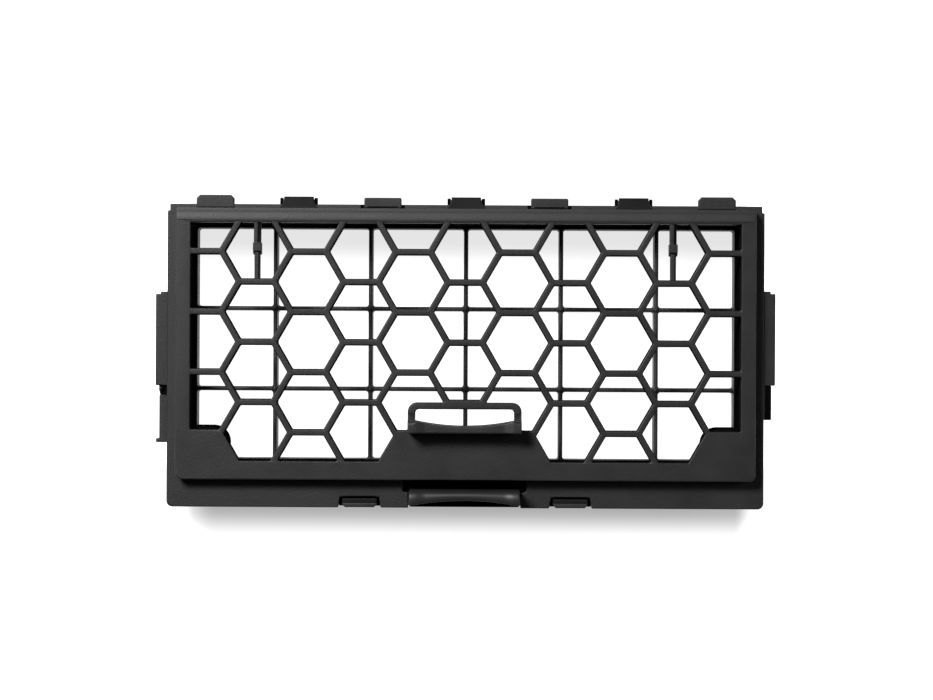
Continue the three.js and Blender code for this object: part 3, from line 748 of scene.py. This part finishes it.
# A cell's six sides are counted from the upper right one, counter-clockwise.
TOP, LOWER_LEFT, BOTTOM, LOWER_RIGHT = 1, 3, 4, 5
CELL_EDGES = (((1, 0), COVER_X[0]), ((-1, 0), COVER_X[0]), ((0, 1), COVER_HIGH[0]), ((0, -1), -COVER_LOW[1]))


def cell(x, y, pushed):
    """One opening of the grille, cut to the cover's opening; pushed gives the sides that stand elsewhere."""
    centre = Vector((x, y))
    far = 20
    loop = [centre + Vector(corner) for corner in ((-far, -far), (far, -far), (far, far), (-far, far))]
    for side in range(6):
        way = math.radians(30 + 60 * side)
        normal = Vector((math.cos(way), math.sin(way)))
        reach = pushed.get(side, (CELL_PITCH - STRUT) / 2)
        loop = clip(loop, normal, normal.dot(centre) + reach)
    for normal, distance in CELL_EDGES:
        loop = clip(loop, Vector(normal), distance)
    return rounded([(p.x, p.y) for p in loop], 0.55)


def grille_cells():
    """Every whole and cut cell, by column and row, except those the panels and the finger loop take."""
    taken = ((5, -2), (1, -2), (1, -1), (0, -2))
    above_panel = CELL_CENTRE_Y - CELL_PITCH - PANEL_TOP
    beside_panels = {
        (4, -2): (LOWER_RIGHT, CORNER_REACH_RIGHT),
        (-4, -2): (LOWER_LEFT, CORNER_REACH_LEFT),
        (-2, -2): (LOWER_RIGHT, HALF_PITCH),
        (2, -2): (LOWER_LEFT, HALF_PITCH),
        (5, -1): (BOTTOM, above_panel),
        (-5, -1): (BOTTOM, above_panel),
    }
    cells = []
    for column in range(-5, 6):
        even = column % 2 == 0
        shift = HALF_PITCH if even else 0
        for row in range(-2, 2 if even else 3):
            if (abs(column), row) in taken:
                continue
            pushed = {}
            if even and row == 1:
                pushed[TOP] = HALF_PITCH
            if even and row == -2:
                pushed[BOTTOM] = HALF_PITCH
            if (column, row) in beside_panels:
                side, reach = beside_panels[column, row]
                pushed[side] = reach
            x = GRILLE_MIDDLE + column * CELL_COLUMN
            cells.append(cell(x, CELL_CENTRE_Y + row * CELL_PITCH + shift, pushed))
    return cells


def beside_loop(edge, shift):
    """The opening to the right of the finger loop's edge, as corners."""
    x, y = CELL_COLUMN + shift, CELL_CENTRE_Y - CELL_PITCH
    reach = (CELL_PITCH - STRUT) / math.sqrt(3)
    rise = (CELL_PITCH - STRUT) / 2
    slope = 1 / math.sqrt(3)
    left = x - reach + (y - LOOP_TOP) * slope
    low_right = x + reach - (y - PANEL_TOP) * slope
    return [(left, LOOP_TOP, 0.4), (edge, LOOP_TOP, 3.0), (edge, PANEL_TOP, 0.6),
            (low_right, PANEL_TOP, 0.5), (x + reach, y, 0.55), (x + reach / 2, y + rise, 0.55),
            (x - reach / 2, y + rise, 0.55)]


def lip_edge(x):
    """How high the lip's finger side is at x from the middle: a shallow hollow."""
    t = min(1, abs(x) / LOOP_INNER)
    return LIP_HIGH - (1 - t * t) * (LIP_HIGH - LIP_MIDDLE)


def finger_hole():
    points = [(-LOOP_INNER, LOOP_BAR_LOW, 1.3)] + [(x, lip_edge(x), 0) for x in spread(LOOP_INNER, 16)]
    points.append((LOOP_INNER, LOOP_BAR_LOW, 1.3))
    return rounded([(LOOP_MIDDLE + x, y, radius) for x, y, radius in points])


def make_cover_face():
    """The cover's thin face, and behind it the depth of the grille; their upright walls in the opening get
    painted shade.
    """
    x, low, high = COVER_X[1], COVER_LOW[0], COVER_HIGH[0] + 0.8
    outer = rounded([(-x, low, 2), (x, low, 2), (x, high, 0.3), (-x, high, 0.3)], step=10)
    right = beside_loop(LOOP_HALF + LOOP_MIDDLE, GRILLE_MIDDLE)
    left = mirrored(beside_loop(LOOP_HALF - LOOP_MIDDLE, -GRILLE_MIDDLE))
    holes = grille_cells() + [rounded(right), rounded(left), finger_hole()]
    face = slab_mesh(outer, holes, (COVER_FRONT - 2.2, COVER_FRONT), 0.05, 0.35, 0.05)
    put("cover_face", face, *COVER, "honeycomb_grille", "centre_panel", "corner_panel_left",
        "corner_panel_right", "cover_bar_left", "cover_bar_right", "cover_bar_bottom", "finger_loop_bar",
        painted_shade_where=WITHIN_OPENING)
    grow = 0.6
    wider = 0.08
    inner = rectangle((-COVER_X[0] - grow, COVER_X[0] + grow),
                      (COVER_LOW[1] - grow, COVER_HIGH[0] + grow), 0.3)
    behind = [offset(counter_clockwise(loop), -wider) for loop in holes]
    back = slab_mesh(inner, behind, (GRILLE_BACK, COVER_FRONT - 1.5), 0.25, 0.05, wider)
    put("cover_grille_depth", back, *COVER, painted_shade_where=WITHIN_OPENING)


def make_cover_skirt():
    """An outer and an inner wall behind the cover's bars; the faces inside the skirt get painted shade."""
    thick = 1.3
    behind_edge = 0.06
    x, low, high = COVER_X[1], COVER_LOW[0], COVER_HIGH[1]
    outer = rounded([(-x, low, 2), (x, low, 2), (x, high, 1.1), (-x, high, 1.1)], step=10)
    outer = offset(outer, -behind_edge)
    outer_wall = slab_mesh(outer, [offset(outer, -thick)], (COVER_BACK, COVER_FRONT - 2.6), 0.2, 0.1)
    x, low, high = COVER_X[0] + behind_edge, COVER_LOW[1] - behind_edge, COVER_HIGH[0] + behind_edge
    hole = rectangle((-x, x), (low, high), 0.4)
    inner_wall = slab_mesh(offset(hole, thick), [hole], (COVER_BACK, COVER_FRONT - 1.2), 0.2, 0.1)
    put("cover_skirt", join(outer_wall, inner_wall), *COVER, painted_shade_where=WITHIN_SKIRT)


# How steeply the top bar falls, from the grille to the hinge, in equal steps.
BAR_SLOPES = (0, 0.05, 0.1, 0.14, 0.18, 0.22, 0.24, 0.24, 0.22, 0.16, 0.08, 0.05, 0.07, 0.12, 0.14, 0.14)


def make_top_bar():
    """The bar above the grille falls away towards the hinge in a soft curve."""
    low, high = COVER_HIGH[0] - 0.35, COVER_HIGH[1]
    flat = low + 0.7
    back = COVER_BACK + 0.6
    step = (high - flat) / len(BAR_SLOPES)
    front = [(flat, COVER_FRONT, 0)]
    for slope in BAR_SLOPES:
        y, z, _ = front[-1]
        front.append((y + step, z - slope * step, 0))
    profile = [(high, back, 0.3), (low, back, 0.2), (low, COVER_FRONT - 0.05, 0.35)]
    mesh = slab_mesh(rounded(profile + front), (), (-COVER_X[1], COVER_X[1]), 0.5, 0.5)
    put("cover_top_bar", mesh, *COVER, "cover_bar_top", turn=ALONG_X)


def lip_section(x):
    """The lip in YZ: hollow towards the finger hole, dished along its top, with a softer edge at its ends."""
    high = lip_edge(x)
    top = LIP_TOP - 0.8 * (1 - smooth_step(13.2, 16.4, abs(x)))
    back = GRILLE_BACK + 0.4
    inner_radius = 0.45 + 0.9 * smooth_step(LOOP_INNER - 0.4, LOOP_INNER + 0.4, abs(x))
    outer_radius = 0.5
    section = [(high, back)]
    for turn in quarter_turn(4):
        section.append((high - inner_radius * (1 - math.cos(turn)),
                        top - inner_radius * (1 - math.sin(turn))))
    for turn in quarter_turn(4):
        section.append((LIP_LOW + outer_radius * (1 - math.sin(turn)),
                        top - outer_radius * (1 - math.cos(turn))))
    section.append((LIP_LOW, back))
    return section


def make_lip():
    lip = loft_with_ends(lip_section, LOOP_HALF, 0.45, spread(LOOP_HALF - 0.7, 48))
    put("cover_finger_lip", placed(lip, Matrix.Translation((LOOP_MIDDLE, 0, 0))), *COVER, "finger_lip")


def make_loop_legs():
    """Two sloping legs join the finger loop's bar to the lip."""
    foot = COVER_FRONT - 0.4
    under_lip = LIP_HIGH - 1.5
    profile = rounded([(LOOP_BEND + 0.4, foot, 0.1), (LOOP_BEND, COVER_FRONT + 0.02, 0.6),
                       (LIP_HIGH - 0.05, LIP_TOP - 1.1, 0.2), (under_lip, LIP_TOP - 1.5, 0.2),
                       (under_lip, foot, 0.1)])
    for side in ("left", "right"):
        node = "finger_loop_leg_" + side
        put("cover_loop_leg_" + side, slab_mesh(profile, (), span(node, 0), 0.3, 0.3), *COVER, node,
            turn=ALONG_X)


def make_arms():
    """An arm hangs from the top bar: a bevelled rod, a square hook and a thinner rod below it."""
    hook_low, hook_high = 32.2, 36.2
    hook_half = 1.45
    upper_half, lower_half = 1.15, 0.95
    back, front = GRILLE_BACK, COVER_FRONT - 0.25
    hook = rounded([(hook_high, back, 0.2), (hook_high, front + 0.1, 0.3),
                    (hook_low + 1.2, front + 0.1, 0.25), (hook_low, front - 1.9, 0.3), (hook_low, back, 0.2)])
    for side in ("left", "right"):
        node = "retaining_arm_" + side
        x = mean(span(node, 0)) - 0.25
        low, high = span(node, 1)
        upper = rounded([(x - upper_half, back, 0.2), (x + upper_half, back, 0.2),
                         (x + upper_half, front - 1.5, 0.3), (x + 0.1, front, 0.25),
                         (x - upper_half, front, 0.35)])
        lower = rounded([(x - lower_half, back, 0.2), (x + lower_half, back, 0.2),
                         (x + lower_half, front - 1.0, 0.3), (x + 0.35, front - 0.3, 0.25),
                         (x - lower_half, front - 0.3, 0.35)])
        mesh = join(placed(slab_mesh(upper, (), (hook_high - 0.2, high + 0.7), 0.1, 0.1), ALONG_Y),
                    placed(slab_mesh(lower, (), (low - 0.4, hook_low + 0.7), 0.1, 0.1), ALONG_Y),
                    placed(slab_mesh(hook, (), (x - hook_half, x + hook_half), 0.25, 0.3), ALONG_X))
        put("cover_" + node, mesh, *COVER, node)


def make_hooks():
    """A ring round the pin and, in front of it, a neck that slopes down from the cover's edge, in the darker
    copy of the plastic as painted shade.
    """
    edge = COVER_HIGH[1]
    half = PIN_HALF - 0.2
    neck_side = [(6.7, edge - 0.9), (6.7, edge + 0.15), (6.15, edge + 0.6), (5.6, edge + 1.2),
                 (5.2, edge + 2.0), (half, edge + 3.0), (half, edge + 4.05)]
    slope = 0.5
    fall = Matrix.Identity(4)
    fall[2][1] = -slope
    for name, x in HINGE_X.items():
        node = "hinge_hook_" + name
        front = span(node, 2)[1] + slope * edge
        outline = [(x + px, py) for px, py in neck_side] + [(x - px, py) for px, py in reversed(neck_side)]
        neck = slab_mesh(rounded(outline), (), (front - 1.2, front), 0.15, 0.35)
        ring = slab_mesh(circle(1.9, HINGE_Y, HINGE_Z), [circle(BORE_RADIUS, HINGE_Y, HINGE_Z)],
                         (x - half, x + half), 0.2, 0.2)
        put("cover_" + node, join(placed(neck, fall), placed(ring, ALONG_X)), *COVER, node,
            material="painted_dim_plastic")


def make_keeper():
    """A plate behind the cover's bottom bar with a tooth for the latch's nose, in near-black plastic as
    painted shade.
    """
    x, (tip, back), (low, high) = spans("latch_keeper")
    face = tip + 1.8
    profile = rounded([(back, low, 0.3), (back, high, 0.2), (face, high, 0.2), (face, low + 2.4, 0.2),
                       (tip, low + 1.6, 0.2), (tip, low + 0.6, 0.3), (face, low, 0.3)])
    put("cover_latch_keeper", slab_mesh(profile, (), x, 0.3, 0.3), *COVER, "latch_keeper", turn=ALONG_X,
        material="painted_shade_plastic")


# ---- latch ----

def grip_section(x):
    """The grip in YZ: steep behind, a soft ridge, and a hollow front that arches up in the middle."""
    (left, right), (low, high), (back, top) = spans("latch_grip")
    foot = back - 0.3
    t = min(1, abs(x) / ((right - left) / 2 - 1.2))
    front = low + 0.5 + 1.6 * (1 - t * t)
    ridge = front + 0.42 * (high - front)
    crest = top - 0.5 * (1 - smooth_step(13.2, 16.8, abs(x)))
    behind_drop, front_drop = 2.6, 0.4
    section = [(high, foot)]
    for turn in quarter_turn(8):
        section.append((ridge + (high - ridge) * math.cos(turn), crest - behind_drop * (1 - math.sin(turn))))
    for turn in quarter_turn(8, first=1):
        section.append((ridge + (front - ridge) * math.sin(turn), crest - front_drop * (1 - math.cos(turn))))
    section.append((front, foot))
    return section


def make_grip():
    left, right = span("latch_grip", 0)
    half = (right - left) / 2
    grip = loft_with_ends(grip_section, half, 0.5, spread(half - 0.8, 56))
    grip = placed(grip, Matrix.Translation((mean((left, right)), 0, 0)))
    put("latch_grip_wall", grip, *LATCH, "latch_grip")


def make_latch_plate():
    x, y, z = spans("latch_plate")
    # Near-black plastic paints the shade under the grip.
    mesh = slab_mesh(rectangle(x, (FLANGE_LOW + 0.1, y[1]), 0.6), (), z, 0.3, 0.3)
    put("latch_base_plate", mesh, *LATCH, "latch_plate", material="painted_shade_plastic")


def make_latch_nose():
    """A post with a sloping nose that holds the keeper, in near-black plastic as painted shade."""
    x, (low, tip), (foot, top) = spans("latch_nose")
    post = low + 1.5
    profile = rounded([(low, top, 0.2), (low, foot, 0.3), (tip, foot + 1.7, 0.2), (tip, foot + 2.8, 0.3),
                       (post, foot + 4.0, 0.6), (post, top, 0.2)])
    put("latch_nose_hook", slab_mesh(profile, (), x, 0.3, 0.3), *LATCH, "latch_nose", turn=ALONG_X,
        material="painted_shade_plastic")


def make_trunnions():
    for side in ("left", "right"):
        node = "latch_trunnion_" + side
        x, y, z = spans(node)
        place = Matrix.Translation((mean(x), mean(y), mean(z)))
        put(node + "_stub", placed(rod(1.0, x[1] - x[0] + 0.4), place), *LATCH, node)


# ---- studio ----

def paint_floor_glow_and_shadow(material, shader):
    """The floor glows as painted light: less in a soft band in front of the object, a painted shadow, and
    near and behind its hinge, painted shade; more beside it, painting out the cast shadow.
    """
    nodes, links = material.node_tree.nodes, material.node_tree.links
    place = nodes.new("ShaderNodeTexCoord")
    split = nodes.new("ShaderNodeSeparateXYZ")
    links.new(place.outputs["Object"], split.inputs["Vector"])
    width = nodes.new("ShaderNodeMath")
    width.operation = "ABSOLUTE"
    links.new(split.outputs["X"], width.inputs[0])

    def ramp(source, start, end, first, last):
        """A soft step from one value to another between two places, in metres."""
        step = nodes.new("ShaderNodeMapRange")
        step.interpolation_type = "SMOOTHSTEP"
        for socket, value in (("From Min", start), ("From Max", end), ("To Min", first), ("To Max", last)):
            step.inputs[socket].default_value = value
        links.new(source, step.inputs["Value"])
        return step.outputs["Result"]

    def add(a, b):
        node = nodes.new("ShaderNodeMath")
        node.operation = "ADD"
        links.new(a, node.inputs[0])
        links.new(b, node.inputs[1])
        return node.outputs["Value"]

    beside = ramp(width.outputs["Value"], 0.092, 0.099, 0.0, 0.6)
    under = ramp(split.outputs["Y"], -0.041, -0.037, 0.43, 1.05)
    far = ramp(split.outputs["Y"], 0.028, 0.038, 0.0, -0.28)
    near = ramp(split.outputs["Y"], -0.0645, -0.0535, 0.6, 0.0)
    links.new(add(add(under, beside), add(far, near)), shader.inputs["Emission Strength"])


def soft_light(name, place, size, energy):
    """A rectangular light aimed at the object."""
    data = bpy.data.lights.new(name, "AREA")
    data.shape = "RECTANGLE"
    data.size, data.size_y = size
    data.energy = energy
    light = bpy.data.objects.new(name, data)
    SCENE.collection.objects.link(light)
    light.location = place
    light.rotation_euler = (-light.location).to_track_quat("-Z", "Y").to_euler()


def make_floor():
    data = bpy.data.meshes.new("floor")
    half = 3.0
    corners = [(-half, -half, 0), (half, -half, 0), (half, half, 0), (-half, half, 0)]
    data.from_pydata(corners, [], [(0, 1, 2, 3)])
    floor = bpy.data.objects.new("floor", data)
    SCENE.collection.objects.link(floor)
    white = bpy.data.materials.new("floor_glow_painted_shadow")
    white.use_nodes = True
    shader = white.node_tree.nodes["Principled BSDF"]
    shader.inputs["Base Color"].default_value = (0.2, 0.2, 0.2, 1)
    shader.inputs["Roughness"].default_value = 0.9
    shader.inputs["Specular IOR Level"].default_value = 0.0
    shader.inputs["Emission Color"].default_value = (1, 1, 1, 1)
    paint_floor_glow_and_shadow(white, shader)
    data.materials.append(white)


def make_lights():
    world = bpy.data.worlds.new("studio")
    SCENE.world = world
    world.use_nodes = True
    background = world.node_tree.nodes["Background"]
    background.inputs["Color"].default_value = (1, 1, 1, 1)
    background.inputs["Strength"].default_value = 0.06
    soft_light("key", (-0.55, 0.61, 1.03), (0.42, 0.36), 39)
    soft_light("edge_light", (0.8, 0.15, 0.75), (0.3, 0.6), 2.4)


def make_camera():
    """A long lens, straight above the object and turned a trace."""
    data = bpy.data.cameras.new("camera")
    data.lens = 118.5
    data.sensor_width = 36
    data.clip_end = 20
    camera = bpy.data.objects.new("camera", data)
    SCENE.collection.objects.link(camera)
    camera.location = (0.0003, 0.0007, 1.05)
    camera.rotation_euler = (0, 0, math.radians(0.29))
    SCENE.camera = camera
    SCENE.view_settings.view_transform = "Standard"


make_flange()
make_walls()
make_rear_grid()
make_corner_blocks()
make_ear("left")
make_catch_left()
make_ear("right")
make_catch_right()
make_side_recess()
make_top_tabs()
make_pins()
make_latch_brackets()
make_latch_shelf()
make_snap_tabs()
make_cover_face()
make_cover_skirt()
make_top_bar()
make_lip()
make_loop_legs()
make_arms()
make_hooks()
make_keeper()
make_grip()
make_latch_plate()
make_latch_nose()
make_trunnions()
make_floor()
make_lights()
make_camera()
